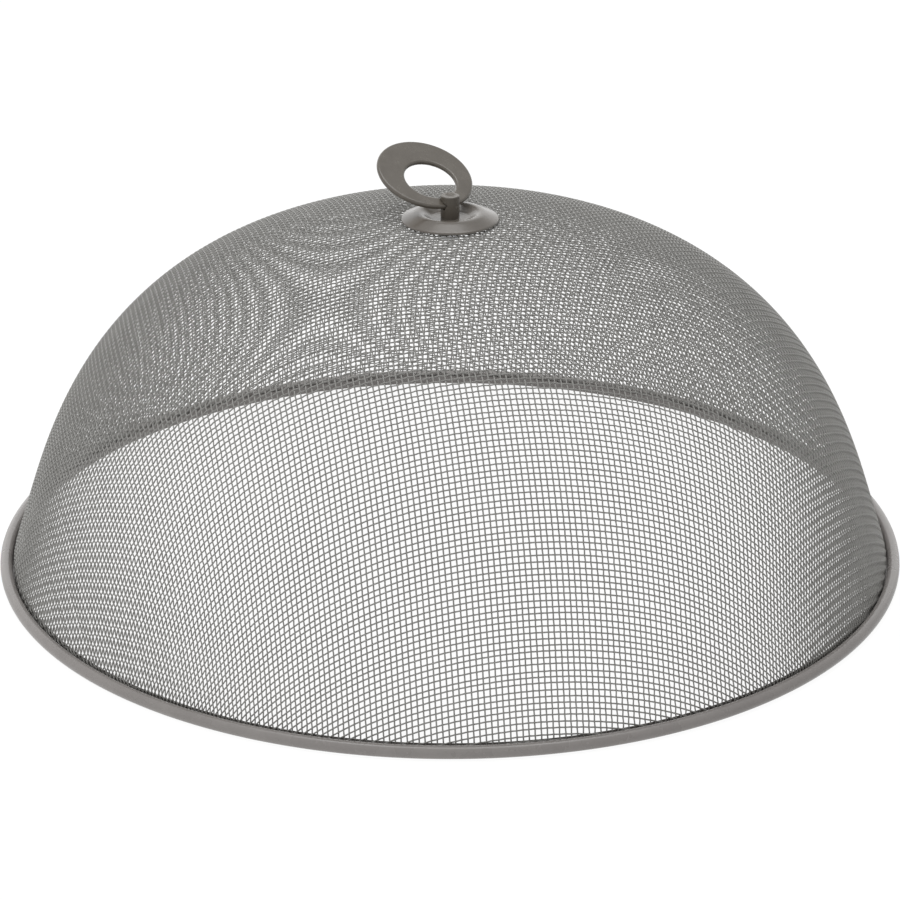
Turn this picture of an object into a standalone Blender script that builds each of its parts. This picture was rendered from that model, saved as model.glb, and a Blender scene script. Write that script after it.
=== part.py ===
"""Woven wire food cover with a ring handle.

A round dome of painted wire mesh stands over a plate and keeps insects off the food. A rolled steel rim
clamps the edge of the mesh. A finger ring is seated in a short post, which is bolted through the crown.

Model space is in metres with +Z up. The origin is on the dome's axis, in the plane that the rim rests on.
"""

from math import cos, pi, radians, sin, tan

import bmesh
import bpy
import numpy as np

# Overall sizes
RIM_RADIUS = 0.1750        # outside of the rolled rim
DOME_HEIGHT = 0.1344       # middle of the mesh's thickness on the axis, above the table
FIT_GAP = 0.0003           # clearance left between neighbouring pieces
WELD_DISTANCE = 0.00001    # points closer than this are one point

# Woven wire mesh, as a shell two wires thick with a coarse grid of openings
WIRE_DIAMETER = 0.0005
SKIRT_LENGTH = 0.0200      # straight, slanted part of the dome above the rim
SKIRT_ANGLE = radians(18.0)
CROWN_HANDLE_SHARE = 1.00
SHOULDER_HANDLE_SHARE = 0.34
CROWN_PLATE = 0.0220       # radius of the part round the stud that has no openings
HEM_BAND = 0.0045          # part above the hem that has none, along the mesh
OPENING_COLUMNS = 24
OPENING_ROWS = 6
OPENING_HEIGHT_SHARE = 0.80

# Rolled rim
RIM_SHEET = 0.0004
BEAD_RADIUS = 0.00235      # outside of the bead
LEG_HEIGHT = 0.0034        # inner leg, above the table
FOLD_RADIUS = 0.0006       # fold between the leg and the land, in the middle of the sheet

# Rosette, the dished plate on the crown
ROSETTE_RADIUS = 0.0181    # middle of the sheet, at the lip
ROSETTE_CREST_RADIUS = 0.0118
ROSETTE_FLOOR_RADIUS = 0.0065
ROSETTE_CREST_BEND = 0.0050
ROSETTE_FLANK_SLOPE = radians(24)
ROSETTE_LIP_BEND = 0.0006
ROSETTE_LIP = 0.0003       # upright part of the turned down lip
ROSETTE_SHEET = 0.0006

# Handle post, with its stud
POST_RADIUS = 0.00355
POST_HEIGHT = 0.0084       # above the rosette's floor
POST_EDGE = 0.0003         # rounding of the top edge
DIMPLE_RADIUS = 0.0021
DIMPLE_DEPTH = 0.0006
STUD_RADIUS = 0.0020
STUD_CHAMFER = 0.0004
STUD_OVERRUN = 0.0010      # stud left showing past the nut

# Ring handle
RING_RADIUS = 0.0187
RING_HOLE_RADIUS = 0.0101
RING_THICKNESS = 0.0020
RING_NARROW_BAND = 0.0050  # width of the band where the post holds it
RING_EDGE = 0.0006         # rounding of every edge
RING_REACH = 0.0016        # how far the ring's edge reaches past the post's axis
RING_SEAT_DROP = 0.0035    # from the post's top down to the ring's middle, on the axis
RING_TILT = radians(25.3)
RING_AZIMUTH = radians(-51.7)

# Fixings inside the dome
BACKING_RADIUS = 0.0100
BACKING_THICKNESS = 0.0010
LOCK_RADIUS = 0.0038
LOCK_THICKNESS = 0.0009
LOCK_SPLIT = 0.0006
LOCK_SPLIT_SLANT = radians(25)
NUT_ACROSS_FLATS = 0.0070
NUT_THICKNESS = 0.0032
NUT_FACE_SHARE = 0.95      # flat round face of the nut, of its width across flats
NUT_CHAMFER_ANGLE = radians(30)

# How far a cutter runs past what it cuts
CUT_OVERRUN = 0.0010

# Facets
COLUMN_STEPS = 3           # of which the bar between two openings takes one
DOME_STEPS = OPENING_COLUMNS * COLUMN_STEPS
HANDLE_STEPS = 40
FIXING_STEPS = 32
CURVE_SEGMENTS = 400       # of the curve along which the openings are laid out
FOLD_SEGMENTS = 3
BEAD_SEGMENTS_A_TURN = 16
BEAD_SEGMENTS = 13
ROSETTE_WALL_SEGMENTS = 4
ROSETTE_BEND_SEGMENTS = 3
DIMPLE_SEGMENTS = 3
EDGE_SEGMENTS = 2

# Sizes that follow from those above
MESH_THICKNESS = 2 * WIRE_DIAMETER
BEAD_CENTRE = (RIM_RADIUS - BEAD_RADIUS, BEAD_RADIUS)
HEM_RADIUS = RIM_RADIUS - 2 * BEAD_RADIUS - FIT_GAP - MESH_THICKNESS / 2
LEG_RADIUS = HEM_RADIUS - MESH_THICKNESS / 2 - FIT_GAP - RIM_SHEET / 2
HEM_TOP = LEG_HEIGHT + FIT_GAP
HEM_BOTTOM = RIM_SHEET + FIT_GAP
CORE_WIRE_RADIUS = BEAD_RADIUS - RIM_SHEET - FIT_GAP
BORE_RADIUS = STUD_RADIUS + FIT_GAP
RING_OFFSET = RING_RADIUS - RING_REACH
HOLE_OFFSET = RING_OFFSET - (RING_RADIUS - RING_HOLE_RADIUS - RING_NARROW_BAND)

# Paint and plating: colour, roughness, metallic
MESH_PAINT = ((0.220, 0.212, 0.202), 0.40, 0.00)
RIM_PAINT = ((0.190, 0.182, 0.172), 0.30, 0.00)
HANDLE_PAINT = ((0.150, 0.141, 0.131), 0.30, 0.00)
ZINC_PLATE = ((0.560, 0.560, 0.570), 0.35, 1.00)
BARE_STEEL = ((0.420, 0.410, 0.400), 0.45, 1.00)


def clear_scene():
    """Removes every object, so that the script can be run again in the same file."""
    for item in list(bpy.data.objects):
        bpy.data.objects.remove(item, do_unlink=True)


def new_collection(name):
    collection = bpy.data.collections.new(name)
    bpy.context.scene.collection.children.link(collection)
    return collection


def finish_material(name, finish):
    colour, roughness, metallic = finish
    material = bpy.data.materials.new(name)
    material.use_nodes = True
    shader = material.node_tree.nodes["Principled BSDF"]
    shader.inputs["Base Color"].default_value = (*colour, 1.0)
    shader.inputs["Roughness"].default_value = roughness
    shader.inputs["Metallic"].default_value = metallic
    return material


def place(item, name, collection):
    """Names an object and moves it from wherever an operator put it into one collection."""
    for owner in list(item.users_collection):
        owner.objects.unlink(item)
    collection.objects.link(item)
    item.name = name
    return item


def add_outline(name, points, collection, closed=False):
    """A line of (radius, height) points in the XZ plane, for a Screw modifier to turn."""
    mesh = bpy.data.meshes.new(name)
    edges = [(index, index + 1) for index in range(len(points) - 1)]
    if closed:
        edges.append((len(points) - 1, 0))
    mesh.from_pydata([(radius, 0, height) for radius, height in points], edges, [])
    return place(bpy.data.objects.new(name, mesh), name, collection)


def turn(item, steps):
    """Turns an outline about Z."""
    screw = item.modifiers.new("turned", "SCREW")
    screw.axis = "Z"
    screw.steps = steps
    screw.render_steps = steps
    screw.use_merge_vertices = True
    screw.merge_threshold = WELD_DISTANCE
    return item


def thicken(item, thickness):
    """Gives an open surface an even wall, half to each side."""
    solidify = item.modifiers.new("wall", "SOLIDIFY")
    solidify.thickness = thickness
    solidify.offset = 0
    solidify.use_even_offset = True
    return item


def combine(item, other, operation, label):
    boolean = item.modifiers.new(label, "BOOLEAN")
    boolean.operation = operation
    boolean.solver = "EXACT"
    boolean.object = other


def as_cutter(item):
    item.hide_render = True
    item.display_type = "WIRE"
    return item


def add_cylinder(name, radius, depth, sides, collection, location=(0, 0, 0), parent=None):
    bpy.ops.mesh.primitive_cylinder_add(vertices=sides, radius=radius, depth=depth, location=location)
    item = place(bpy.context.object, name, collection)
    item.parent = parent
    item.data.shade_smooth()
    item.data.set_sharp_from_angle(angle=radians(40))
    return item


def arc(centre, radius, start, end, segments):
    """Points along a round arc, both ends included."""
    return [(centre[0] + radius * cos(angle), centre[1] + radius * sin(angle))
            for angle in np.linspace(start, end, segments + 1)]


def mesh_line():
    """Middle of the mesh from the axis to the hem's top: radii, heights and lengths along it.

    One smooth curve leaves the axis level and meets the straight skirt along its slant.
    """
    slant_out, slant_down = sin(SKIRT_ANGLE), cos(SKIRT_ANGLE)
    skirt_top = (HEM_RADIUS - SKIRT_LENGTH * slant_out, HEM_TOP + SKIRT_LENGTH * slant_down)
    # The level line through the crown and the skirt's own line meet here.
    corner_radius = skirt_top[0] - (DOME_HEIGHT - skirt_top[1]) * tan(SKIRT_ANGLE)
    corner_reach = (DOME_HEIGHT - skirt_top[1]) / slant_down
    pull = SHOULDER_HANDLE_SHARE * corner_reach
    ends = np.array([(0, DOME_HEIGHT),
                     (CROWN_HANDLE_SHARE * corner_radius, DOME_HEIGHT),
                     (skirt_top[0] - pull * slant_out, skirt_top[1] + pull * slant_down),
                     skirt_top])
    share = np.linspace(0, 1, CURVE_SEGMENTS + 1)
    rest = 1 - share
    weights = np.column_stack([rest ** 3, 3 * rest ** 2 * share, 3 * rest * share ** 2, share ** 3])
    line = np.vstack([weights @ ends, (HEM_RADIUS, HEM_TOP)])
    steps = np.linalg.norm(np.diff(line, axis=0), axis=1)
    return line[:, 0], line[:, 1], np.concatenate([[0], np.cumsum(steps)])


def mesh_height(radius):
    """Height of the mesh's middle at a radius."""
    radii, heights, _ = mesh_line()
    return float(np.interp(radius, radii, heights))


def add_pierced_surface(name, points, open_bands, collection):
    """Turns a line of points about Z. Where a band is open, only a bar is left in each column."""
    turns = np.arange(DOME_STEPS) * 2 * pi / DOME_STEPS
    vertices = [(radius * cos(turn), radius * sin(turn), height)
                for radius, height in points for turn in turns]
    faces = []
    for band in range(len(points) - 1):
        inner, outer = band * DOME_STEPS, (band + 1) * DOME_STEPS
        for step in range(DOME_STEPS):
            if band in open_bands and step % COLUMN_STEPS:
                continue
            after = (step + 1) % DOME_STEPS
            faces.append((inner + step, outer + step, outer + after, inner + after))
    mesh = bpy.data.meshes.new(name)
    mesh.from_pydata(vertices, [], faces)
    # Inside an open band, the points between two bars belong to no face.
    loose = bmesh.new()
    loose.from_mesh(mesh)
    bmesh.ops.delete(loose, geom=[point for point in loose.verts if not point.link_faces], context="VERTS")
    loose.to_mesh(mesh)
    loose.free()
    return place(bpy.data.objects.new(name, mesh), name, collection)


def make_mesh_dome(parts, material):
    """The mesh, from the stud's hole down over the crown and the skirt to the hem in the rim.

    Its openings stand in for the weave. They lie in rows, between the crown and a band above the hem.
    """
    radii, heights, lengths = mesh_line()
    points = [(radius, mesh_height(radius)) for radius in (BORE_RADIUS, BACKING_RADIUS, ROSETTE_RADIUS)]
    first = float(np.interp(CROWN_PLATE, radii, lengths))
    row = (float(lengths[-1]) - HEM_BAND - first) / (OPENING_ROWS - 1 + OPENING_HEIGHT_SHARE)
    open_bands = []
    for index in range(OPENING_ROWS):
        for share in (0, OPENING_HEIGHT_SHARE / 2, OPENING_HEIGHT_SHARE):
            if share:
                open_bands.append(len(points) - 1)
            along = first + (index + share) * row
            points.append((float(np.interp(along, lengths, radii)),
                           float(np.interp(along, lengths, heights))))
    points += [(HEM_RADIUS, HEM_TOP), (HEM_RADIUS, HEM_BOTTOM)]
    dome = thicken(add_pierced_surface("mesh_dome", points, open_bands, parts), MESH_THICKNESS)
    dome.data.materials.append(material)


def make_rim_channel(parts, material):
    """The rim's sheet: up to the bead's lip from the inner leg, round the fold, land and bead."""
    half_sheet = RIM_SHEET / 2
    fold_centre = (LEG_RADIUS + FOLD_RADIUS, half_sheet + FOLD_RADIUS)
    bead_sweep = 2 * pi * BEAD_SEGMENTS / BEAD_SEGMENTS_A_TURN
    points = [(LEG_RADIUS, LEG_HEIGHT)]
    points += arc(fold_centre, FOLD_RADIUS, pi, 1.5 * pi, FOLD_SEGMENTS)
    points += arc(BEAD_CENTRE, BEAD_RADIUS - half_sheet, -pi / 2, bead_sweep - pi / 2, BEAD_SEGMENTS)
    rim = thicken(turn(add_outline("rim_channel", points, parts), DOME_STEPS), RIM_SHEET)
    rim.data.materials.append(material)


def make_rim_core_wire(parts, material):
    bpy.ops.mesh.primitive_torus_add(major_radius=BEAD_CENTRE[0], minor_radius=CORE_WIRE_RADIUS,
                                     major_segments=DOME_STEPS, minor_segments=8,
                                     location=(0, 0, BEAD_CENTRE[1]))
    wire = place(bpy.context.object, "rim_core_wire", parts)
    wire.data.shade_smooth()
    wire.data.materials.append(material)


def rosette_levels():
    """Heights of the rosette's floor, in the middle of its sheet, and of the lip's lower end."""
    clearance = MESH_THICKNESS / 2 + FIT_GAP
    floor = DOME_HEIGHT + clearance + ROSETTE_SHEET / 2
    return floor, mesh_height(ROSETTE_RADIUS - ROSETTE_SHEET / 2) + clearance


def make_rosette(parts, material):
    """A pressed plate: flat floor, wall up to a round crest, straight flank and turned down lip."""
    floor, lip_end = rosette_levels()
    lip_centre = (ROSETTE_RADIUS - ROSETTE_LIP_BEND, lip_end + ROSETTE_LIP)
    # The flank runs straight from the crest's bend to the lip's.
    flank_width = (lip_centre[0] - ROSETTE_CREST_RADIUS
                   - (ROSETTE_CREST_BEND - ROSETTE_LIP_BEND) * sin(ROSETTE_FLANK_SLOPE))
    crest = (lip_centre[1] + ROSETTE_CREST_BEND + flank_width * tan(ROSETTE_FLANK_SLOPE)
             - (ROSETTE_CREST_BEND - ROSETTE_LIP_BEND) * cos(ROSETTE_FLANK_SLOPE))
    wall_width = ROSETTE_CREST_RADIUS - ROSETTE_FLOOR_RADIUS
    points = [(BORE_RADIUS, floor)]
    for share in np.linspace(0, 1, ROSETTE_WALL_SEGMENTS + 1)[:-1]:
        height = floor + (crest - floor) * (1 - cos(pi * share)) / 2
        points.append((ROSETTE_FLOOR_RADIUS + share * wall_width, height))
    points += arc((ROSETTE_CREST_RADIUS, crest - ROSETTE_CREST_BEND), ROSETTE_CREST_BEND,
                  pi / 2, pi / 2 - ROSETTE_FLANK_SLOPE, ROSETTE_BEND_SEGMENTS)
    points += arc(lip_centre, ROSETTE_LIP_BEND, pi / 2 - ROSETTE_FLANK_SLOPE, 0, ROSETTE_BEND_SEGMENTS)
    points.append((ROSETTE_RADIUS, lip_end))
    rosette = thicken(turn(add_outline("rosette", points, parts), HANDLE_STEPS), ROSETTE_SHEET)
    rosette.data.materials.append(material)


def fixing_levels():
    """Heights under the crown: the tops of the backing washer, lock washer and nut, and the stud's end."""
    backing_top = mesh_height(BACKING_RADIUS) - MESH_THICKNESS / 2 - FIT_GAP
    lock_top = backing_top - BACKING_THICKNESS - FIT_GAP
    nut_top = lock_top - LOCK_THICKNESS - FIT_GAP
    stud_end = nut_top - NUT_THICKNESS - STUD_OVERRUN
    return backing_top, lock_top, nut_top, stud_end


def post_levels():
    """Heights of the post's foot and top."""
    foot = rosette_levels()[0] + ROSETTE_SHEET / 2 + FIT_GAP
    return foot, foot + POST_HEIGHT


def make_ring_seat(cutters):
    """An empty at the middle of the ring's seat: its X runs down the slope and its Z is the ring's axis."""
    seat = place(bpy.data.objects.new("ring_seat", None), "ring_seat", cutters)
    seat.location = (0, 0, post_levels()[1] - RING_SEAT_DROP)
    seat.rotation_euler = (0, RING_TILT, RING_AZIMUTH)
    return seat


def make_handle_post(parts, cutters, seat, material):
    """A turned post and stud, notched from behind for the ring's narrow side."""
    foot, top = post_levels()
    stud_end = fixing_levels()[3]
    points = [(DIMPLE_RADIUS * share, top - DIMPLE_DEPTH * (1 - share ** 2))
              for share in np.linspace(0, 1, DIMPLE_SEGMENTS + 1)]
    points += arc((POST_RADIUS - POST_EDGE, top - POST_EDGE), POST_EDGE, pi / 2, 0, EDGE_SEGMENTS)
    points += [(POST_RADIUS, foot), (STUD_RADIUS, foot), (STUD_RADIUS, stud_end + STUD_CHAMFER),
               (STUD_RADIUS - STUD_CHAMFER, stud_end), (0, stud_end)]
    post = turn(add_outline("handle_post", points, parts), FIXING_STEPS)
    notch = add_cylinder("ring_notch", RING_RADIUS + FIT_GAP, RING_THICKNESS + 2 * FIT_GAP, 2 * DOME_STEPS,
                         cutters, location=(-RING_OFFSET, 0, 0), parent=seat)
    combine(post, as_cutter(notch), "DIFFERENCE", "ring notch")
    post.data.materials.append(material)


def make_ring_handle(parts, cutters, seat, material):
    """A flat ring whose hole is off centre, so that it is narrow at the post and broad above."""
    ring = add_cylinder("ring_handle", RING_RADIUS, RING_THICKNESS, DOME_STEPS,
                        parts, location=(-RING_OFFSET, 0, 0), parent=seat)
    hole = add_cylinder("finger_hole", RING_HOLE_RADIUS, RING_THICKNESS + 2 * CUT_OVERRUN, DOME_STEPS,
                        cutters, location=(-HOLE_OFFSET, 0, 0), parent=seat)
    combine(ring, as_cutter(hole), "DIFFERENCE", "finger hole")
    bevel = ring.modifiers.new("rounded edges", "BEVEL")
    bevel.width = RING_EDGE
    bevel.segments = EDGE_SEGMENTS
    bevel.limit_method = "ANGLE"
    bevel.angle_limit = radians(50)
    ring.data.materials.append(material)


def washer_section(outer, top, thickness):
    """Section of a flat washer on the stud, running down its outer side."""
    bottom = top - thickness
    return [(BORE_RADIUS, top), (outer, top), (outer, bottom), (BORE_RADIUS, bottom)]


def make_backing_washer(parts, material):
    section = washer_section(BACKING_RADIUS, fixing_levels()[0], BACKING_THICKNESS)
    washer = turn(add_outline("backing_washer", section, parts, closed=True), HANDLE_STEPS)
    washer.data.materials.append(material)


def make_lock_washer(parts, cutters, material):
    """A spring washer, split by one slanted cut."""
    top = fixing_levels()[1]
    section = washer_section(LOCK_RADIUS, top, LOCK_THICKNESS)
    washer = turn(add_outline("lock_washer", section, parts, closed=True), FIXING_STEPS)
    middle = (BORE_RADIUS + LOCK_RADIUS) / 2
    bpy.ops.mesh.primitive_cube_add(size=1, location=(middle, 0, top - LOCK_THICKNESS / 2))
    split = place(bpy.context.object, "lock_split", cutters)
    split.data.transform(split_shape())
    split.rotation_euler = (LOCK_SPLIT_SLANT, 0, 0)
    combine(washer, as_cutter(split), "DIFFERENCE", "split")
    washer.data.materials.append(material)


def split_shape():
    """Turns a unit cube into the thin slab that splits the lock washer."""
    reach = LOCK_RADIUS - BORE_RADIUS + 2 * CUT_OVERRUN
    height = LOCK_THICKNESS + 2 * CUT_OVERRUN
    return ((reach, 0, 0, 0), (0, LOCK_SPLIT, 0, 0), (0, 0, height, 0), (0, 0, 0, 1))


def make_hex_nut(parts, cutters, material):
    """A hexagon, bored for the stud and turned down at its corners."""
    middle = fixing_levels()[2] - NUT_THICKNESS / 2
    corner_radius = NUT_ACROSS_FLATS / 2 / cos(pi / 6)
    nut = add_cylinder("hex_nut", corner_radius, NUT_THICKNESS, 6, parts, location=(0, 0, middle))
    face_radius = NUT_FACE_SHARE * NUT_ACROSS_FLATS / 2
    wide_radius = corner_radius + CUT_OVERRUN
    drop = (wide_radius - face_radius) * tan(NUT_CHAMFER_ANGLE)
    half = NUT_THICKNESS / 2
    outline = [(0, half), (face_radius, half), (wide_radius, half - drop),
               (wide_radius, drop - half), (face_radius, -half), (0, -half)]
    envelope = turn(add_outline("nut_envelope", outline, cutters), FIXING_STEPS)
    envelope.location = (0, 0, middle)
    combine(nut, as_cutter(envelope), "INTERSECT", "turned corners")
    bore = add_cylinder("nut_bore", BORE_RADIUS, NUT_THICKNESS + 2 * CUT_OVERRUN, FIXING_STEPS,
                        cutters, location=(0, 0, middle))
    combine(nut, as_cutter(bore), "DIFFERENCE", "bore")
    nut.data.materials.append(material)


def main():
    clear_scene()
    parts = new_collection("mesh_food_cover")
    cutters = new_collection("cutters")
    mesh_paint = finish_material("mesh_paint", MESH_PAINT)
    rim_paint = finish_material("rim_paint", RIM_PAINT)
    rosette_paint = finish_material("rosette_paint", RIM_PAINT)
    handle_paint = finish_material("handle_paint", HANDLE_PAINT)
    zinc_plate = finish_material("zinc_plate", ZINC_PLATE)
    bare_steel = finish_material("bare_steel", BARE_STEEL)

    make_mesh_dome(parts, mesh_paint)
    make_rim_channel(parts, rim_paint)
    make_rim_core_wire(parts, bare_steel)
    make_rosette(parts, rosette_paint)
    seat = make_ring_seat(cutters)
    make_handle_post(parts, cutters, seat, handle_paint)
    make_ring_handle(parts, cutters, seat, handle_paint)
    make_backing_washer(parts, zinc_plate)
    make_lock_washer(parts, cutters, zinc_plate)
    make_hex_nut(parts, cutters, zinc_plate)


main()
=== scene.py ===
"""Looks of the woven wire food cover.

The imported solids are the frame. Woven wires stand for the dome's shell, and the rim, the rosette, the handle
and the fixings get finer meshes of the same sizes, with painted and plated surfaces.
"""

from math import cos, pi, radians, sin, tan

import bpy
import numpy as np
from mathutils import Euler, Matrix, Vector


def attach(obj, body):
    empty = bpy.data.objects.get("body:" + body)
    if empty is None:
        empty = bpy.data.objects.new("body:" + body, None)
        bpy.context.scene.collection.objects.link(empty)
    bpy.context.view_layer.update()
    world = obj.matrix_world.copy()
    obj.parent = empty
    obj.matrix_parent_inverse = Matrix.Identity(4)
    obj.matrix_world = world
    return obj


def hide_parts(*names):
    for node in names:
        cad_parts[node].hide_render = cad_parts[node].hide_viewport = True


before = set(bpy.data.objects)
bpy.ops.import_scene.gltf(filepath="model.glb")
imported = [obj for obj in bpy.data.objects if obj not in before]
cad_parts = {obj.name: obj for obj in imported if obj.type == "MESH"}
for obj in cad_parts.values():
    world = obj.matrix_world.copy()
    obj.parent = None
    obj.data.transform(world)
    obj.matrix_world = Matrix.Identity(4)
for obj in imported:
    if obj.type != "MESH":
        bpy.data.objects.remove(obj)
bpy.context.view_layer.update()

# Sizes that the part's source gives to the same pieces
RIM_RADIUS = 0.1750
DOME_HEIGHT = 0.1344
FIT_GAP = 0.0003
WIRE_DIAMETER = 0.0005
SKIRT_LENGTH = 0.0200
SKIRT_ANGLE = radians(18.0)
CROWN_HANDLE_SHARE = 1.00
SHOULDER_HANDLE_SHARE = 0.34
RIM_SHEET = 0.0004
BEAD_RADIUS = 0.00235
LEG_HEIGHT = 0.0034
FOLD_RADIUS = 0.0006
BEAD_SWEEP = radians(292.5)
ROSETTE_RADIUS = 0.0181
ROSETTE_CREST_RADIUS = 0.0118
ROSETTE_FLOOR_RADIUS = 0.0065
ROSETTE_CREST_BEND = 0.0050
ROSETTE_FLANK_SLOPE = radians(24)
ROSETTE_LIP_BEND = 0.0006
ROSETTE_LIP = 0.0003
ROSETTE_SHEET = 0.0006
POST_RADIUS = 0.00355
POST_HEIGHT = 0.0084
POST_EDGE = 0.0003
DIMPLE_RADIUS = 0.0021
DIMPLE_DEPTH = 0.0006
STUD_RADIUS = 0.0020
STUD_CHAMFER = 0.0004
STUD_OVERRUN = 0.0010
RING_RADIUS = 0.0187
RING_HOLE_RADIUS = 0.0101
RING_THICKNESS = 0.0020
RING_NARROW_BAND = 0.0050
RING_REACH = 0.0016
RING_SEAT_DROP = 0.0035
RING_TILT = radians(25.3)
RING_AZIMUTH = radians(-51.7)
BACKING_RADIUS = 0.0100
BACKING_THICKNESS = 0.0010
LOCK_RADIUS = 0.0038
LOCK_THICKNESS = 0.0009
LOCK_SPLIT = 0.0006
LOCK_SPLIT_SLANT = radians(25)
NUT_ACROSS_FLATS = 0.0070
NUT_THICKNESS = 0.0032

MESH_THICKNESS = 2 * WIRE_DIAMETER
BEAD_CENTRE = (RIM_RADIUS - BEAD_RADIUS, BEAD_RADIUS)
HEM_RADIUS = RIM_RADIUS - 2 * BEAD_RADIUS - FIT_GAP - MESH_THICKNESS / 2
LEG_RADIUS = HEM_RADIUS - MESH_THICKNESS / 2 - FIT_GAP - RIM_SHEET / 2
HEM_TOP = LEG_HEIGHT + FIT_GAP
HEM_BOTTOM = RIM_SHEET + FIT_GAP
BORE_RADIUS = STUD_RADIUS + FIT_GAP
RING_OFFSET = RING_RADIUS - RING_REACH
HOLE_OFFSET = RING_OFFSET - (RING_RADIUS - RING_HOLE_RADIUS - RING_NARROW_BAND)

# Weave: one set of wires runs up the dome in front, the other across it
PITCH_UP = 0.002206         # from crossing to crossing along the wires that run up
PITCH_ACROSS = 0.002132
WEAVE_AZIMUTH = radians(10.0)   # of the wires that run straight over the crown, from the front towards +X
WEAVE_PAST_RIM = 0.006      # how far the net is worked out past the hem, before it is cut there
HOLD_SHARE = 0.20           # of the pitch, on each side of a crossing, along which a wire stays high or low
PAINTED_WIRE = 0.00055      # a wire with its coat of paint
WIRE_BEND = 0.00014         # to each side of the mesh's middle: pressing and paint make the crossings flatter
WIRE_SIDES = 6
MOST_TRIANGLES = 180000     # in one piece of the mesh
WIRE_WANDER = 0.00004       # how far a wire strays to each side of its line
WANDER_WAVES = (0.02, 0.06)     # least and most turn of its slow wave, in radians for half a pitch
SHORTEST_RUN = 4            # fewest points or crossings that make a wire
NEWTON_STEPS = 8            # in which the place of a crossing is found
MAP_REACH = 0.50            # longest wire that the map of a piece holds

# Small things that only show from near
RIM_UNEVEN = 0.00006        # how unevenly the bead is rolled
RIM_WAVES_OUT = (9, 14, 23, 37, 61, 88)     # waves round the rim that make it so
RIM_WAVES_UP = (11, 19, 31, 53, 97)
RING_ROUNDING = 0.0009      # of the ring's edges, thicker with paint than the bare steel
THREAD_PITCH = 0.0007
THREAD_DEPTH = 0.00038
THREAD_FLAT = 0.1           # of half a pitch, at the crest and at the root
THREAD_RINGS = 10           # loops of points in one pitch
DIMPLE_INNER = 0.04         # of its radius, where its innermost loop lies
WASHER_EDGE = 0.00015
NUT_FACE_SHARE = 0.95       # of the width across the flats that stays flat on top
NUT_CHAMFER = radians(30)

# Surfaces
NOISE_SPAN = (0.35, 0.65)   # the middle of a noise, where most of its values lie
SPECKLE_SHARE = 0.35        # of the grain that is added to the patches of colour
COLOUR_SPAN = (0.50, 0.85)  # of their sum, from the dark colour to the light one
WIRE_SHARP = radians(70)    # angles from which an edge looks sharp
TURNED_SHARP = radians(40)
NUT_SHARP = radians(20)

# Camera, floor and light
CAMERA_REACH = 1.225        # from the middle of the rim's plane
CAMERA_ELEVATION = radians(25.03)
CAMERA_PITCH = radians(23.29)
FOCAL_PIXELS = 3116
FLOOR_SIZE = 24.0
FLOOR_DROP = 0.0002
FLOOR_COLOUR = 0.50
FLOOR_ROUGHNESS = 0.9
FLOOR_GLOW = 0.45           # besides the light that falls on it
FLOOR_SLOPE = 0.50          # as far as this on each side, its glow gets stronger to the left
FLOOR_SHADE = 0.10          # the floor's colour to the camera, on top of an even white
FLOOR_WHITE = 0.94          # that even white
ROOM_LEVEL = 0.76           # of the light that the room sends, halfway between left and right
LEFT_SHARE = 0.60           # how much more light comes from the left than from straight ahead
PANEL_LEVEL = 0.60          # of a broad white panel behind the object
PANEL_PLACE = (0, 2.40, 0.75)
PANEL_AIM = (0, 0, 0.10)
PANEL_SIZE = (4.40, 1.45)
OVERHEAD_LEVEL = 3.2        # of a lamp above the object
OVERHEAD_PLACE = (0, 0.18, 1.30)
OVERHEAD_AIM = (0, 0, 0.05)
OVERHEAD_SIZE = (0.90, 0.66)
SENSOR_WIDTH = 36           # in millimetres
PICTURE_PIXELS = 900

# Points along the mesh's middle line, and steps round the turned pieces
CROWN_POINTS = 1500
SKIRT_POINTS = 60
RIM_STEPS = 512
HANDLE_STEPS = 128


def dome_line():
    """Line along the mesh's middle, from the axis to the hem and past it on the skirt's slant.

    Returns the radii, the heights and the lengths along it.
    """
    out, down = sin(SKIRT_ANGLE), cos(SKIRT_ANGLE)
    skirt_top = (HEM_RADIUS - SKIRT_LENGTH * out, HEM_TOP + SKIRT_LENGTH * down)
    corner_radius = skirt_top[0] - (DOME_HEIGHT - skirt_top[1]) * tan(SKIRT_ANGLE)
    pull = SHOULDER_HANDLE_SHARE * (DOME_HEIGHT - skirt_top[1]) / down
    ends = np.array([(0, DOME_HEIGHT), (CROWN_HANDLE_SHARE * corner_radius, DOME_HEIGHT),
                     (skirt_top[0] - pull * out, skirt_top[1] + pull * down), skirt_top])
    share = np.linspace(0, 1, CROWN_POINTS)[:, None]
    rest = 1 - share
    crown = (rest ** 3 * ends[0] + 3 * rest ** 2 * share * ends[1]
             + 3 * rest * share ** 2 * ends[2] + share ** 3 * ends[3])
    past = WEAVE_PAST_RIM + SKIRT_LENGTH
    skirt = np.array(skirt_top) + np.linspace(0, past, SKIRT_POINTS)[1:, None] * np.array([out, -down])
    line = np.vstack([crown, skirt])
    lengths = np.concatenate([[0], np.cumsum(np.linalg.norm(np.diff(line, axis=0), axis=1))])
    return line[:, 0], line[:, 1], lengths


LINE_RADII, LINE_HEIGHTS, LINE_LENGTHS = dome_line()
LINE_SLOPES = np.gradient(LINE_HEIGHTS, LINE_RADII)
HEM_LENGTH = float(np.interp(HEM_RADIUS, LINE_RADII, LINE_LENGTHS))
CUT_LENGTH = HEM_LENGTH + HEM_TOP - HEM_BOTTOM


def mesh_height(radius):
    return np.interp(radius, LINE_RADII, LINE_HEIGHTS)


def mesh_slope(radius):
    return np.interp(radius, LINE_RADII, LINE_SLOPES)


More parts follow.
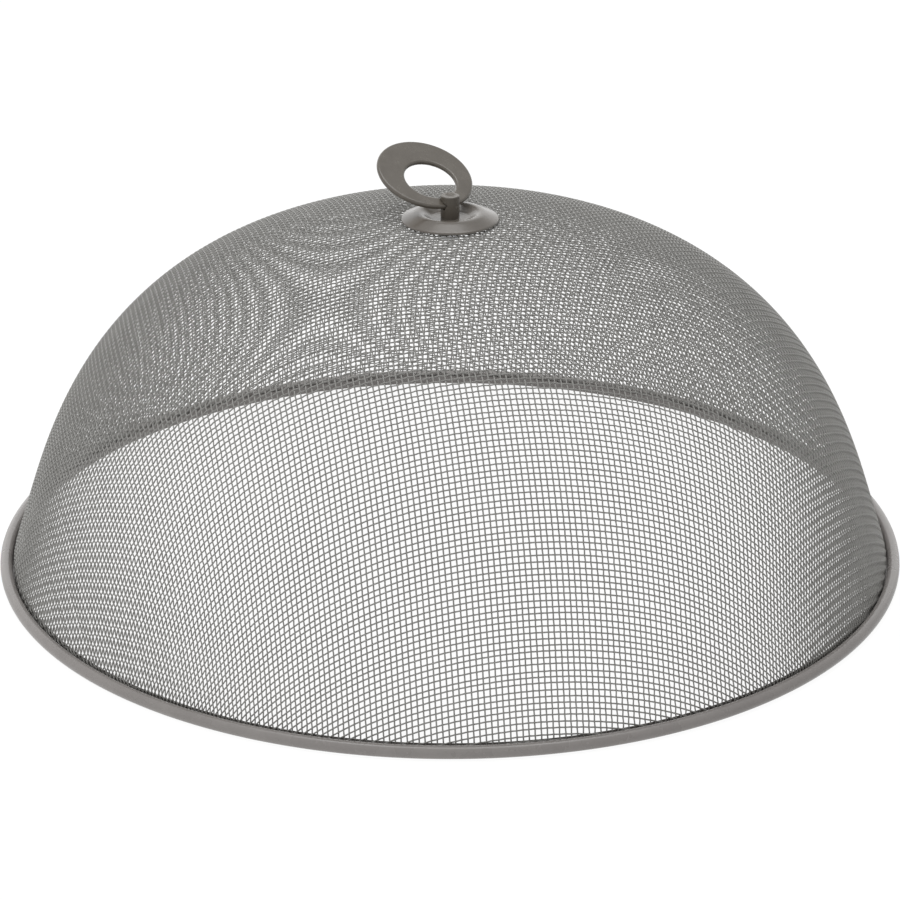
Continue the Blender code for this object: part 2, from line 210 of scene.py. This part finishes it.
# Levels of the handle and its fixings, one on the other
ON_MESH = MESH_THICKNESS / 2 + FIT_GAP
ROSETTE_FLOOR = DOME_HEIGHT + ON_MESH + ROSETTE_SHEET / 2
ROSETTE_LIP_END = float(mesh_height(ROSETTE_RADIUS - ROSETTE_SHEET / 2)) + ON_MESH
POST_FOOT = ROSETTE_FLOOR + ROSETTE_SHEET / 2 + FIT_GAP
POST_TOP = POST_FOOT + POST_HEIGHT
BACKING_TOP = float(mesh_height(BACKING_RADIUS)) - MESH_THICKNESS / 2 - FIT_GAP
LOCK_TOP = BACKING_TOP - BACKING_THICKNESS - FIT_GAP
NUT_TOP = LOCK_TOP - LOCK_THICKNESS - FIT_GAP
STUD_END = NUT_TOP - NUT_THICKNESS - STUD_OVERRUN
RING_SEAT = (Matrix.Translation((0, 0, POST_TOP - RING_SEAT_DROP))
             @ Euler((0, RING_TILT, RING_AZIMUTH)).to_matrix().to_4x4())


# Meshes

def new_piece(name, mesh, material, sharp):
    """An object for a mesh, shaded smooth except at edges sharper than an angle."""
    mesh.shade_smooth()
    mesh.set_sharp_from_angle(angle=sharp)
    mesh.materials.clear()
    mesh.materials.append(material)
    piece = bpy.data.objects.new(name, mesh)
    bpy.context.scene.collection.objects.link(piece)
    return piece


def arc(centre, radius, start, end, count):
    """Points of a round arc, both ends included."""
    return [(centre[0] + radius * cos(angle), centre[1] + radius * sin(angle))
            for angle in np.linspace(start, end, count)]


def sheet_section(line, thickness, count=5):
    """Closed section of a bent sheet with round edges, from the line along its middle."""
    line = np.array(line)
    along = np.gradient(line, axis=0)
    along /= np.linalg.norm(along, axis=1)[:, None]
    across = np.column_stack([-along[:, 1], along[:, 0]])
    half = thickness / 2
    turns = np.linspace(0, pi, count)[1:-1, None]
    end_cap = line[-1] + half * (np.cos(turns) * across[-1] + np.sin(turns) * along[-1])
    start_cap = line[0] - half * (np.cos(turns) * across[0] + np.sin(turns) * along[0])
    return np.vstack([line + half * across, end_cap, (line - half * across)[::-1], start_cap])


def slab_section(inner, outer, bottom, top, edge, count=4):
    """Closed section of a flat ring with rounded edges."""
    corners = [((outer - edge, top - edge), pi / 2, 0), ((outer - edge, bottom + edge), 0, -pi / 2),
               ((inner + edge, bottom + edge), -pi / 2, -pi), ((inner + edge, top - edge), pi, pi / 2)]
    return [point for centre, first, last in corners for point in arc(centre, edge, first, last, count)]


def turned(name, loops, steps, material, joined=True, sharp=TURNED_SHARP):
    """A piece from round loops, each (radius, height) or (radius, height, shift along X).

    A radius or height may be an array, with a value for each step round. joined closes the last loop on the
    first; otherwise the loops run down the outside from the top, and each end closes in a point.
    """
    angles = np.arange(steps) * 2 * pi / steps
    loops = [(*loop, 0.0) if len(loop) == 2 else tuple(loop) for loop in loops]
    if joined:
        outline = np.array([(np.mean(radius), np.mean(height)) for radius, height, _ in loops])
        nextward = np.roll(outline, -1, axis=0)
        area = (outline[:, 0] * nextward[:, 1] - nextward[:, 0] * outline[:, 1]).sum()
        if area > 0:
            loops = loops[::-1]
    points = [np.column_stack([shift + radius * np.cos(angles), radius * np.sin(angles),
                               height + 0 * angles]) for radius, height, shift in loops]
    count = len(loops)
    step = np.arange(steps)
    after = (step + 1) % steps
    faces = []
    for loop in range(count if joined else count - 1):
        here, there = loop * steps, (loop + 1) % count * steps
        faces += np.column_stack([here + step, there + step, there + after, here + after]).tolist()
    if not joined:
        for loop, ends in ((0, (step, after)), (count - 1, (after, step))):
            centre = np.full(steps, count * steps + (loop > 0))
            points.append([points[loop].mean(0)])
            faces += np.column_stack([centre, ends[0] + loop * steps, ends[1] + loop * steps]).tolist()
    mesh = bpy.data.meshes.new(name)
    mesh.from_pydata(np.vstack(points).tolist(), [], faces)
    return new_piece(name, mesh, material, sharp)


def carve(piece, cutter, operation="DIFFERENCE", sharp=TURNED_SHARP):
    """Cuts a piece by another object, which is then removed."""
    modifier = piece.modifiers.new("carve", "BOOLEAN")
    modifier.operation = operation
    modifier.solver = "EXACT"
    modifier.object = cutter
    graph = bpy.context.evaluated_depsgraph_get()
    mesh = bpy.data.meshes.new_from_object(piece.evaluated_get(graph))
    mesh.name = piece.name
    piece.modifiers.clear()
    piece.data = mesh
    mesh.shade_smooth()
    mesh.set_sharp_from_angle(angle=sharp)
    bpy.data.objects.remove(cutter)
    return piece


def add_disc(radius, depth, sides, matrix=Matrix.Identity(4)):
    """A plain disc to carve with."""
    bpy.ops.mesh.primitive_cylinder_add(vertices=sides, radius=radius, depth=depth)
    disc = bpy.context.object
    disc.data.transform(matrix)
    return disc


# Materials

def link(material, pairs):
    """Links outputs to inputs: ((node, output), (node, input))."""
    for (source, output), (target, socket) in pairs:
        material.node_tree.links.new(source.outputs[output], target.inputs[socket])


def add_noise(material, size, detail, roughness=0.5):
    """Noise whose patches are about size across."""
    nodes = material.node_tree.nodes
    noise = nodes.new("ShaderNodeTexNoise")
    noise.inputs["Scale"].default_value = 1 / size
    noise.inputs["Detail"].default_value = detail
    noise.inputs["Roughness"].default_value = roughness
    place = nodes.new("ShaderNodeTexCoord")
    link(material, [((place, "Object"), (noise, "Vector"))])
    return noise


def add_range(material, source, output, low, high, span=NOISE_SPAN):
    """Maps a span of an output's values to the range from low to high."""
    ranged = material.node_tree.nodes.new("ShaderNodeMapRange")
    for socket, value in (("From Min", span[0]), ("From Max", span[1]), ("To Min", low), ("To Max", high)):
        ranged.inputs[socket].default_value = value
    link(material, [((source, output), (ranged, "Value"))])
    return ranged


def finish(name, light, dark, roughness, patch, grain, bump, metallic=0.0):
    """A surface that varies between two colours and two roughnesses, with a fine uneven grain.

    patch and grain are the sizes of the colour patches and of the grain, and bump is the grain's height.
    """
    material = bpy.data.materials.new(name)
    material.use_nodes = True
    nodes = material.node_tree.nodes
    shader = nodes["Principled BSDF"]
    shader.inputs["Metallic"].default_value = metallic
    shader.inputs["Roughness"].default_value = sum(roughness) / 2
    shader.inputs["Base Color"].default_value = (*[(a + b) / 2 for a, b in zip(light, dark)], 1)

    patches = add_noise(material, patch, 4, 0.6)
    speckle = add_noise(material, grain, 2)
    both = nodes.new("ShaderNodeMath")
    both.operation = "MULTIPLY_ADD"
    both.inputs[1].default_value = SPECKLE_SHARE
    link(material, [((speckle, "Fac"), (both, 0)), ((patches, "Fac"), (both, 2))])
    share = add_range(material, both, 0, 0, 1, COLOUR_SPAN)
    mix = nodes.new("ShaderNodeMix")
    mix.data_type = "RGBA"
    mix.inputs["A"].default_value = (*dark, 1)
    mix.inputs["B"].default_value = (*light, 1)
    uneven = add_range(material, patches, "Fac", roughness[0], roughness[1])
    height = nodes.new("ShaderNodeBump")
    height.inputs["Distance"].default_value = bump
    height.inputs["Strength"].default_value = 1.0
    link(material, [((share, 0), (mix, "Factor")), ((mix, "Result"), (shader, "Base Color")),
                    ((uneven, 0), (shader, "Roughness")), ((speckle, "Fac"), (height, "Height")),
                    ((height, "Normal"), (shader, "Normal"))])
    return material


# Painted light and shade: the cover is most likely one grey paint all over, but its parts get different tones
# here. The wires and the rim are painted lighter, as painted light from above and from the floor, and the
# rosette and the handle darker, as painted shade.
WIRE_PAINT_LIGHTENED = finish("wire_paint", (0.262, 0.258, 0.245), (0.219, 0.215, 0.203), (0.34, 0.46),
                    patch=0.012, grain=0.00025, bump=0.000004)
RIM_PAINT_LIGHTENED = finish("rim_paint", (0.240, 0.224, 0.214), (0.212, 0.197, 0.188), (0.24, 0.32),
                   patch=0.015, grain=0.0011, bump=0.000006)
ROSETTE_PAINT_DARKENED = finish("rosette_paint", (0.118, 0.104, 0.089), (0.102, 0.090, 0.077), (0.18, 0.26),
                       patch=0.008, grain=0.0009, bump=0.000005)
HANDLE_PAINT_DARKENED = finish("handle_paint", (0.107, 0.094, 0.077), (0.095, 0.083, 0.068), (0.20, 0.30),
                      patch=0.007, grain=0.0007, bump=0.000005)
ZINC = finish("zinc_plate", (0.66, 0.66, 0.67), (0.52, 0.53, 0.55), (0.22, 0.38),
              patch=0.003, grain=0.0003, bump=0.000003, metallic=1.0)
STEEL = finish("bare_steel", (0.50, 0.48, 0.46), (0.36, 0.34, 0.32), (0.35, 0.55),
               patch=0.004, grain=0.0003, bump=0.000006, metallic=1.0)


# Woven mesh

def quarter_net():
    """Crossings of the net on one quarter of the dome, seen from above, along its two straight wires.

    The net is pin jointed: each crossing lies one pitch from both neighbours nearer the straight wires.
    """
    count = int(LINE_LENGTHS[-1] / min(PITCH_UP, PITCH_ACROSS)) + 2
    net = np.full((count, count, 2), np.nan)
    for line, pitch, heading in ((net[:, 0], PITCH_UP, (1, 0)), (net[0, :], PITCH_ACROSS, (0, 1))):
        radii = np.interp(np.arange(count) * pitch, LINE_LENGTHS, LINE_RADII, right=np.nan)
        line[:] = radii[:, None] * heading
    for total in range(2, 2 * count - 1):
        row = np.arange(max(1, total - count + 1), min(total, count))
        column = total - row
        below, beside, behind = net[row - 1, column], net[row, column - 1], net[row - 1, column - 1]
        known = np.isfinite(below + beside).all(1)
        row, below, beside, behind = row[known], below[known], beside[known], behind[known]
        if not len(row):
            continue
        point = below + beside - behind
        for _ in range(NEWTON_STEPS):
            radius = np.linalg.norm(point, axis=1)
            height = mesh_height(radius)
            climb = point * (mesh_slope(radius) / radius)[:, None]
            misses, rows = [], []
            for neighbour, pitch in ((below, PITCH_UP), (beside, PITCH_ACROSS)):
                rise = height - mesh_height(np.linalg.norm(neighbour, axis=1))
                misses.append(((point - neighbour) ** 2).sum(1) + rise ** 2 - pitch ** 2)
                rows.append(2 * (point - neighbour) + 2 * rise[:, None] * climb)
            turn = rows[0][:, 0] * rows[1][:, 1] - rows[0][:, 1] * rows[1][:, 0]
            step = np.column_stack([misses[0] * rows[1][:, 1] - misses[1] * rows[0][:, 1],
                                    misses[1] * rows[0][:, 0] - misses[0] * rows[1][:, 0]]) / turn[:, None]
            point = point - step
        outside = np.linalg.norm(point, axis=1) > LINE_RADII[-1]
        point[outside | (turn <= 0) | (abs(misses[0]) > PITCH_UP ** 2 / 100)] = np.nan
        net[row, total - row] = point
    return net


def whole_net():
    """Crossings over the whole dome, seen from above, in the part's own X and Y."""
    quarter = quarter_net()
    half = np.concatenate([(quarter * (-1, 1))[:0:-1], quarter])
    net = np.concatenate([(half * (1, -1))[:, :0:-1], half], axis=1)
    turn = np.array([[sin(WEAVE_AZIMUTH), -cos(WEAVE_AZIMUTH)], [cos(WEAVE_AZIMUTH), sin(WEAVE_AZIMUTH)]])
    return net @ turn


def wire_runs(crossings, first_side, chance):
    """Middle lines of a wire that passes over and under at its crossings, with directions out of the dome.

    The wire is cut off in the hem and at the stud's hole.
    """
    step = np.diff(crossings, axis=0)
    before, after = crossings[1:-1] - HOLD_SHARE * step[:-1], crossings[1:-1] + HOLD_SHARE * step[1:]
    places = np.stack([before, after], axis=1).reshape(-1, 2)
    sides = np.repeat(first_side * (-1.0) ** np.arange(1, len(crossings) - 1), 2)
    index = np.arange(len(places))
    wave, phase = chance.uniform(*WANDER_WAVES), chance.uniform(0, 2 * pi)
    wander = WIRE_WANDER * np.sin(index * wave + phase)
    along = np.gradient(places, axis=0)
    along /= np.linalg.norm(along, axis=1)[:, None]
    places = places + (wander + chance.normal(0, WIRE_WANDER / 2))[:, None] * (along[:, ::-1] * (-1, 1))
    radii = np.linalg.norm(places, axis=1)
    lengths = np.interp(radii, LINE_RADII, LINE_LENGTHS)
    kept = (lengths < CUT_LENGTH) & (radii > BORE_RADIUS + WIRE_DIAMETER)
    edges = np.flatnonzero(np.diff(np.concatenate([[0], kept.astype(int), [0]])))
    for start, stop in zip(edges[::2], edges[1::2]):
        if stop - start < SHORTEST_RUN:
            continue
        along_run = [float(number) for number in range(start, stop)]
        for last, past in ((start, start - 1), (stop - 1, stop)):
            if 0 <= past < len(lengths) and lengths[past] >= CUT_LENGTH:
                part = (CUT_LENGTH - lengths[last]) / (lengths[past] - lengths[last])
                along_run.insert(0 if past < last else len(along_run), last + (past - last) * part)
        place = np.column_stack([np.interp(along_run, index, places[:, axis]) for axis in (0, 1)])
        yield drape(place, np.interp(along_run, index, sides))


def drape(place, side):
    """Lays a line seen from above on the dome or its hem, and lifts it to its side of the mesh."""
    radius = np.linalg.norm(place, axis=1)
    outward = place / radius[:, None]
    length = np.interp(radius, LINE_RADII, LINE_LENGTHS)
    slope = mesh_slope(radius)
    in_hem = length > HEM_LENGTH
    height = np.where(in_hem, HEM_TOP - (length - HEM_LENGTH), mesh_height(radius))
    radius = np.where(in_hem, HEM_RADIUS, radius)
    tilt = np.where(in_hem, 0, 1 / np.sqrt(1 + slope ** 2))
    lean = np.sqrt(1 - tilt ** 2)
    normals = np.column_stack([outward * lean[:, None], tilt])
    middle = np.column_stack([outward * radius[:, None], height])
    return middle + normals * (side * WIRE_BEND)[:, None], normals


def wires_piece(name, runs, material):
    """One piece of closed tubes, with a map that lays each wire out in a row of its own."""
    points, quads, caps, quad_maps, cap_maps = [], [], [], [], []
    around = np.arange(WIRE_SIDES)
    angles = around * 2 * pi / WIRE_SIDES
    start = 0
    for row, (middle, normals) in enumerate(runs):
        along = np.gradient(middle, axis=0)
        along /= np.linalg.norm(along, axis=1)[:, None]
        side = np.cross(along, normals)
        side /= np.linalg.norm(side, axis=1)[:, None]
        up = np.cross(side, along)
        ring = side[:, None] * np.cos(angles)[:, None] + up[:, None] * np.sin(angles)[:, None]
        points.append((middle[:, None] + PAINTED_WIRE / 2 * ring).reshape(-1, 3))
        count = len(middle)
        here = start + np.arange(count - 1)[:, None] * WIRE_SIDES
        after = (around + 1) % WIRE_SIDES
        quads.append(np.stack([here + around, here + after, here + WIRE_SIDES + after,
                               here + WIRE_SIDES + around], axis=2).reshape(-1, 4))
        caps += [start + around[::-1], start + (count - 1) * WIRE_SIDES + around]
        steps = np.linalg.norm(np.diff(middle, axis=0), axis=1)
        distance = np.concatenate([[0], np.cumsum(steps)]) / MAP_REACH
        low, high = (row + around / WIRE_SIDES) / len(runs), (row + (around + 1) / WIRE_SIDES) / len(runs)
        near, far = distance[:-1, None] + 0 * around, distance[1:, None] + 0 * around
        low, high = low + 0 * near, high + 0 * near
        quad_maps.append(np.stack([near, low, near, high, far, high, far, low], axis=2).reshape(-1, 8))
        for place in (distance[0], distance[-1]):
            cap_maps.append(np.column_stack([np.full(WIRE_SIDES, place), low[0]]).ravel())
        start += count * WIRE_SIDES
    points, quads, caps = np.concatenate(points), np.concatenate(quads), np.array(caps)
    corners = np.concatenate([quads.ravel(), caps.ravel()])
    starts = np.concatenate([np.arange(len(quads)) * 4, 4 * len(quads) + np.arange(len(caps)) * WIRE_SIDES])
    mesh = bpy.data.meshes.new(name)
    mesh.vertices.add(len(points))
    mesh.vertices.foreach_set("co", points.ravel())
    mesh.loops.add(len(corners))
    mesh.loops.foreach_set("vertex_index", corners)
    mesh.polygons.add(len(starts))
    mesh.polygons.foreach_set("loop_start", starts)
    mesh.update(calc_edges=True)
    layer = mesh.uv_layers.new(name="OFBake")
    maps = np.concatenate([np.concatenate(quad_maps).ravel(), np.concatenate(cap_maps)])
    layer.data.foreach_set("uv", maps)
    return new_piece(name, mesh, material, WIRE_SHARP)


def make_mesh():
    """The woven wires, in pieces of MOST_TRIANGLES triangles at most."""
    net = whole_net()
    chance = np.random.default_rng(12)
    made = []
    rows, columns = net.shape[:2]
    lines = {"long": [(net[:, column], column) for column in range(columns)],
             "cross": [(net[row], row + 1) for row in range(rows)]}
    for label, wires in lines.items():
        runs = []
        for crossings, offset in wires:
            known = np.flatnonzero(np.isfinite(crossings).all(1))
            if len(known) < SHORTEST_RUN:
                continue
            first_side = 1 if (known[0] + offset) % 2 else -1
            runs += list(wire_runs(crossings[known[0]:known[-1] + 1], first_side, chance))
        groups, filled = [[]], 0
        for run in runs:
            triangles = 2 * WIRE_SIDES * len(run[0])
            if filled + triangles > MOST_TRIANGLES:
                groups.append([])
                filled = 0
            groups[-1].append(run)
            filled += triangles
        for number, group in enumerate(groups, 1):
            made.append(wires_piece(f"{label}_wires_{number}", group, WIRE_PAINT_LIGHTENED))
    return made


# Rim

def unevenness(waves, angles, chance):
    """A sum of waves round the rim, about 1 to each side."""
    return sum(np.sin(count * angles + chance.uniform(0, 2 * pi)) / count ** 0.5 for count in waves) / 3


def make_rim():
    """The folded and rolled rim, rolled a little unevenly as by hand."""
    half = RIM_SHEET / 2
    fold_centre = (LEG_RADIUS + FOLD_RADIUS, half + FOLD_RADIUS)
    line = [(LEG_RADIUS, height) for height in np.linspace(LEG_HEIGHT, half + FOLD_RADIUS, 5)[:-1]]
    line += arc(fold_centre, FOLD_RADIUS, pi, 1.5 * pi, 7)
    line += [(radius, half) for radius in np.linspace(LEG_RADIUS + FOLD_RADIUS, BEAD_CENTRE[0], 5)[1:-1]]
    line += arc(BEAD_CENTRE, BEAD_RADIUS - half, -pi / 2, BEAD_SWEEP - pi / 2, 34)
    section = sheet_section(line, RIM_SHEET)
    angles = np.arange(RIM_STEPS) * 2 * pi / RIM_STEPS
    chance = np.random.default_rng(5)
    out, up = unevenness(RIM_WAVES_OUT, angles, chance), unevenness(RIM_WAVES_UP, angles, chance)
    loops = []
    for radius, height in section:
        share = np.clip((height - RIM_SHEET) / BEAD_RADIUS, 0, 1)
        loops.append((radius + RIM_UNEVEN * share * out, height + RIM_UNEVEN * share * up))
    return turned("rolled_rim", loops, RIM_STEPS, RIM_PAINT_LIGHTENED)


# Handle

def rosette_line():
    """Middle of the pressed plate: floor, wall up to a round crest, straight flank and turned down lip."""
    lip_centre = (ROSETTE_RADIUS - ROSETTE_LIP_BEND, ROSETTE_LIP_END + ROSETTE_LIP)
    bends = ROSETTE_CREST_BEND - ROSETTE_LIP_BEND
    flank = lip_centre[0] - ROSETTE_CREST_RADIUS - bends * sin(ROSETTE_FLANK_SLOPE)
    crest = (lip_centre[1] + ROSETTE_CREST_BEND + flank * tan(ROSETTE_FLANK_SLOPE)
             - bends * cos(ROSETTE_FLANK_SLOPE))
    line = [(radius, ROSETTE_FLOOR) for radius in np.linspace(BORE_RADIUS, ROSETTE_FLOOR_RADIUS, 5)[:-1]]
    wall, rise = ROSETTE_CREST_RADIUS - ROSETTE_FLOOR_RADIUS, crest - ROSETTE_FLOOR
    line += [(ROSETTE_FLOOR_RADIUS + share * wall, ROSETTE_FLOOR + rise * (1 - cos(pi * share)) / 2)
             for share in np.linspace(0, 1, 15)[:-1]]
    line += arc((ROSETTE_CREST_RADIUS, crest - ROSETTE_CREST_BEND), ROSETTE_CREST_BEND,
                pi / 2, pi / 2 - ROSETTE_FLANK_SLOPE, 9)
    lip = arc(lip_centre, ROSETTE_LIP_BEND, pi / 2 - ROSETTE_FLANK_SLOPE, 0, 9)
    line += [tuple(np.array(line[-1]) + share * (np.array(lip[0]) - line[-1])) for share in (0.1, 0.5, 0.9)]
    return line + lip + [(ROSETTE_RADIUS, ROSETTE_LIP_END + ROSETTE_SHEET / 2)]


def make_rosette():
    section = sheet_section(rosette_line(), ROSETTE_SHEET, 9)
    return turned("rosette_plate", section, HANDLE_STEPS, ROSETTE_PAINT_DARKENED)


def thread_radius(height, angles, end):
    """Radius of a right-handed thread all round at one height, chamfered at its end."""
    phase = (height / THREAD_PITCH - angles / (2 * pi)) % 1
    depth = THREAD_DEPTH * np.clip((abs(2 * phase - 1) - THREAD_FLAT) / (1 - 2 * THREAD_FLAT), 0, 1)
    return np.minimum(STUD_RADIUS - depth, STUD_RADIUS - STUD_CHAMFER + (height - end))


def make_post():
    """The turned post with its dimple, notch and threaded stud."""
    loops = [(max(share, DIMPLE_INNER) * DIMPLE_RADIUS, POST_TOP - DIMPLE_DEPTH * (1 - share ** 2))
             for share in np.linspace(0, 1, 9)]
    loops += [(DIMPLE_RADIUS + POST_EDGE, POST_TOP), (POST_RADIUS - 2 * POST_EDGE, POST_TOP)]
    loops += arc((POST_RADIUS - POST_EDGE, POST_TOP - POST_EDGE), POST_EDGE, pi / 2, 0, 6)
    seat = POST_FOOT - FIT_GAP
    loops += [(POST_RADIUS, height) for height in np.linspace(POST_TOP - 2 * POST_EDGE, seat + POST_EDGE, 6)]
    loops += [(POST_RADIUS, seat)]
    angles = np.arange(HANDLE_STEPS) * 2 * pi / HANDLE_STEPS
    rings = int((seat - STUD_END) / THREAD_PITCH * THREAD_RINGS)
    for height in np.linspace(seat, STUD_END, rings):
        loops.append((thread_radius(height, angles, STUD_END), height))
    post = turned("post_with_stud", loops, HANDLE_STEPS, HANDLE_PAINT_DARKENED, joined=False)
    notch = add_disc(RING_RADIUS + FIT_GAP, RING_THICKNESS + 2 * FIT_GAP, 2 * HANDLE_STEPS,
                     RING_SEAT @ Matrix.Translation((-RING_OFFSET, 0, 0)))
    return carve(post, notch)


def make_ring():
    """The flat ring, its hole off centre, with well rounded edges."""
    half, inset, support = RING_THICKNESS / 2, RING_ROUNDING, RING_ROUNDING / 3
    loops = []
    for edge, side, offset, first, last in ((RING_RADIUS, -1, RING_OFFSET, (pi / 2, 0), (0, -pi / 2)),
                                            (RING_HOLE_RADIUS, 1, HOLE_OFFSET, (-pi / 2, -pi), (pi, pi / 2))):
        centre, rise = edge + side * inset, side * (half - inset)
        section = [(centre + side * support, -side * half), *arc((centre, -rise), inset, *first, 8),
                   *arc((centre, rise), inset, *last, 8), (centre + side * support, side * half)]
        loops += [(radius, height, -offset) for radius, height in section]
    ring = turned("finger_ring", loops, 2 * HANDLE_STEPS, HANDLE_PAINT_DARKENED)
    ring.data.transform(RING_SEAT)
    return ring


# Fixings under the crown

def make_washer():
    bottom = BACKING_TOP - BACKING_THICKNESS
    section = slab_section(BORE_RADIUS, BACKING_RADIUS, bottom, BACKING_TOP, WASHER_EDGE)
    return turned("wide_washer", section, HANDLE_STEPS, ZINC)


def make_lock_washer():
    section = slab_section(BORE_RADIUS, LOCK_RADIUS, LOCK_TOP - LOCK_THICKNESS, LOCK_TOP, WASHER_EDGE)
    washer = turned("split_washer", section, HANDLE_STEPS, ZINC)
    bpy.ops.mesh.primitive_cube_add(size=1)
    split = bpy.context.object
    middle = ((BORE_RADIUS + LOCK_RADIUS) / 2, 0, LOCK_TOP - LOCK_THICKNESS / 2)
    split.data.transform(Matrix.Translation(middle) @ Matrix.Rotation(LOCK_SPLIT_SLANT, 4, "X")
                         @ Matrix.Diagonal((LOCK_RADIUS, LOCK_SPLIT, 3 * LOCK_THICKNESS, 1)))
    return carve(washer, split)


def make_nut():
    """A hexagon turned down at its corners, with a chamfered bore."""
    middle = NUT_TOP - NUT_THICKNESS / 2
    corner = NUT_ACROSS_FLATS / 2 / cos(pi / 6)
    half, face, reach = NUT_THICKNESS / 2, NUT_FACE_SHARE * NUT_ACROSS_FLATS / 2, corner + STUD_OVERRUN
    drop = (reach - face) * tan(NUT_CHAMFER)
    outline = [(face, middle + half), (reach, middle + half - drop), (reach, middle + drop - half),
               (face, middle - half)]
    nut = turned("hexagon_nut", outline, HANDLE_STEPS, ZINC, joined=False, sharp=NUT_SHARP)
    hexagon = add_disc(corner, 2 * NUT_THICKNESS, 6, Matrix.Translation((0, 0, middle)))
    carve(nut, hexagon, "INTERSECT", sharp=NUT_SHARP)
    mouth = BORE_RADIUS + STUD_CHAMFER
    bore = [(mouth, middle + half + STUD_CHAMFER), (BORE_RADIUS, middle + half - STUD_CHAMFER),
            (BORE_RADIUS, middle - half + STUD_CHAMFER), (mouth, middle - half - STUD_CHAMFER)]
    return carve(nut, turned("nut_bore", bore, HANDLE_STEPS, ZINC, joined=False), sharp=NUT_SHARP)


# Setting

def add_shown(material):
    """A node that is 1 for what the camera sees, straight, in a reflection or through something clear."""
    nodes = material.node_tree.nodes
    path, some, shown = [nodes.new("ShaderNode" + kind) for kind in ("LightPath", "Math", "Math")]
    some.operation = shown.operation = "MAXIMUM"
    link(material, [((path, "Is Camera Ray"), (some, 0)), ((path, "Is Glossy Ray"), (some, 1)),
                    ((some, 0), (shown, 0)), ((path, "Is Transmission Ray"), (shown, 1))])
    return shown


def add_slope(material, coordinates, reach, level):
    """A level along X: LEFT_SHARE more of it at -reach, and as much less at +reach."""
    nodes = material.node_tree.nodes
    place, parts, slope = [nodes.new("ShaderNode" + kind) for kind in ("TexCoord", "SeparateXYZ", "MapRange")]
    for socket, value in (("From Min", -reach), ("From Max", reach), ("To Min", level * (1 + LEFT_SHARE)),
                          ("To Max", level * (1 - LEFT_SHARE))):
        slope.inputs[socket].default_value = value
    link(material, [((place, coordinates), (parts, "Vector")), ((parts, "X"), (slope, "Value"))])
    return slope


def make_floor():
    """A white floor. It looks evenly white to the camera, but for a faint trace of the object's shadow."""
    bpy.ops.mesh.primitive_plane_add(size=FLOOR_SIZE, location=(0, 0, -FLOOR_DROP))
    floor = bpy.context.object
    floor.name = "floor"
    material = bpy.data.materials.new("white_floor")
    material.use_nodes = True
    nodes = material.node_tree.nodes
    shader = nodes["Principled BSDF"]
    shader.inputs["Roughness"].default_value = FLOOR_ROUGHNESS
    shader.inputs["Specular IOR Level"].default_value = 0
    shown = add_shown(material)
    colour = nodes.new("ShaderNodeMix")
    colour.data_type = "RGBA"
    colour.inputs["A"].default_value = (*[FLOOR_COLOUR] * 3, 1)
    colour.inputs["B"].default_value = (*[FLOOR_SHADE] * 3, 1)
    strength = nodes.new("ShaderNodeMix")
    strength.inputs["B"].default_value = FLOOR_WHITE
    glow = nodes.new("ShaderNodeEmission")
    both = nodes.new("ShaderNodeAddShader")
    link(material, [((shown, 0), (colour, "Factor")), ((shown, 0), (strength, "Factor")),
                    ((add_slope(material, "Object", FLOOR_SLOPE, FLOOR_GLOW), 0), (strength, "A")),
                    ((colour, "Result"), (shader, "Base Color")), ((strength, "Result"), (glow, "Strength")),
                    ((shader, "BSDF"), (both, 0)), ((glow, "Emission"), (both, 1)),
                    ((both, "Shader"), (nodes["Material Output"], "Surface"))])
    floor.data.materials.append(material)


def make_world():
    """A pale studio, lighter on the left."""
    world = bpy.data.worlds.new("studio")
    bpy.context.scene.world = world
    world.use_nodes = True
    nodes = world.node_tree.nodes
    background = nodes["Background"]
    background.inputs["Color"].default_value = (1, 1, 1, 1)
    white = nodes.new("ShaderNodeMix")
    white.inputs["B"].default_value = 1.0
    link(world, [((add_slope(world, "Generated", 1.0, ROOM_LEVEL), 0), (white, "A")),
                 ((add_shown(world), 0), (white, "Factor")), ((white, "Result"), (background, "Strength"))])


def add_softbox(name, place, aim, size, level):
    """A rectangular lamp. Its power grows with its area and its level, which stands for its brightness."""
    light = bpy.data.lights.new(name, "AREA")
    light.shape = "RECTANGLE"
    light.size, light.size_y = size
    light.energy = pi * size[0] * size[1] * level
    lamp = bpy.data.objects.new(name, light)
    lamp.location = place
    lamp.rotation_euler = (Vector(aim) - Vector(place)).to_track_quat("-Z", "Y").to_euler()
    bpy.context.scene.collection.objects.link(lamp)


def make_camera():
    camera = bpy.data.cameras.new("camera")
    camera.sensor_width = SENSOR_WIDTH
    camera.lens = SENSOR_WIDTH * FOCAL_PIXELS / PICTURE_PIXELS
    holder = bpy.data.objects.new("camera", camera)
    holder.location = (0, -CAMERA_REACH * cos(CAMERA_ELEVATION), CAMERA_REACH * sin(CAMERA_ELEVATION))
    holder.rotation_euler = (pi / 2 - CAMERA_PITCH, 0, 0)
    bpy.context.scene.collection.objects.link(holder)
    bpy.context.scene.camera = holder


def main():
    for piece in make_mesh():
        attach(piece, "root")
        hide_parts("mesh_dome")
    dressed = [(make_rim(), "rim_channel", "rim_paint"), (make_rosette(), "rosette", "rosette_paint"),
               (make_post(), "handle_post", "handle_paint"), (make_ring(), "ring_handle", "handle_paint"),
               (make_washer(), "backing_washer", "zinc_plate"),
               (make_lock_washer(), "lock_washer", "zinc_plate"), (make_nut(), "hex_nut", "zinc_plate")]
    for piece, node, slot in dressed:
        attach(piece, "root")
        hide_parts(node)
    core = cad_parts["rim_core_wire"]
    for index in range(len(core.material_slots)):
        core.material_slots[index].material = STEEL
    make_floor()
    make_world()
    add_softbox("overhead", OVERHEAD_PLACE, OVERHEAD_AIM, OVERHEAD_SIZE, OVERHEAD_LEVEL)
    add_softbox("panel", PANEL_PLACE, PANEL_AIM, PANEL_SIZE, PANEL_LEVEL)
    make_camera()
    scene = bpy.context.scene
    scene.view_settings.view_transform = "Standard"


main()
